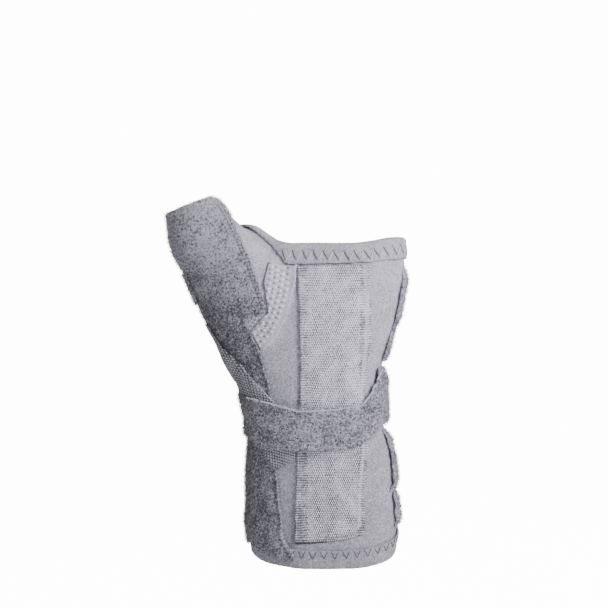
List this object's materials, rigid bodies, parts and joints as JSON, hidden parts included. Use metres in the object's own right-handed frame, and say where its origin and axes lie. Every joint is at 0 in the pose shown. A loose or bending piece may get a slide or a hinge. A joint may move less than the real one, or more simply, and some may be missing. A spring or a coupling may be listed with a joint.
{
  "type": "thumb spica splint",
  "caption": "Left-hand wrist and thumb splint of padded cloth, with webbing stay pocket, thumb sleeve and wrap-round fastening straps.",
  "frame": {"origin": "middle of the wrist, on the middle line of the arm sleeve", "axes": "+Z along the hand towards the fingers, +X towards the little finger, +Y towards the back of the hand"},
  "size_m": [0.1299, 0.0815, 0.2017],
  "materials": {
    "body_fabric": "matte",
    "loop_fabric": "matte",
    "webbing": "matte",
    "binding": "matte",
    "perforated_insert": "matte"
  },
  "bodies": {
    "root": {"body_shell": "body_fabric", "top_binding": "binding", "bottom_binding": "binding", "stay_pocket": "webbing", "thenar_insert": "perforated_insert", "loop_panel": "loop_fabric", "thumb_strap": "webbing", "wrist_strap": "loop_fabric", "thumb_tab": "loop_fabric", "hand_strap": "loop_fabric", "upper_forearm_strap": "loop_fabric", "lower_forearm_strap": "loop_fabric"}
  },
  "joints": []
}
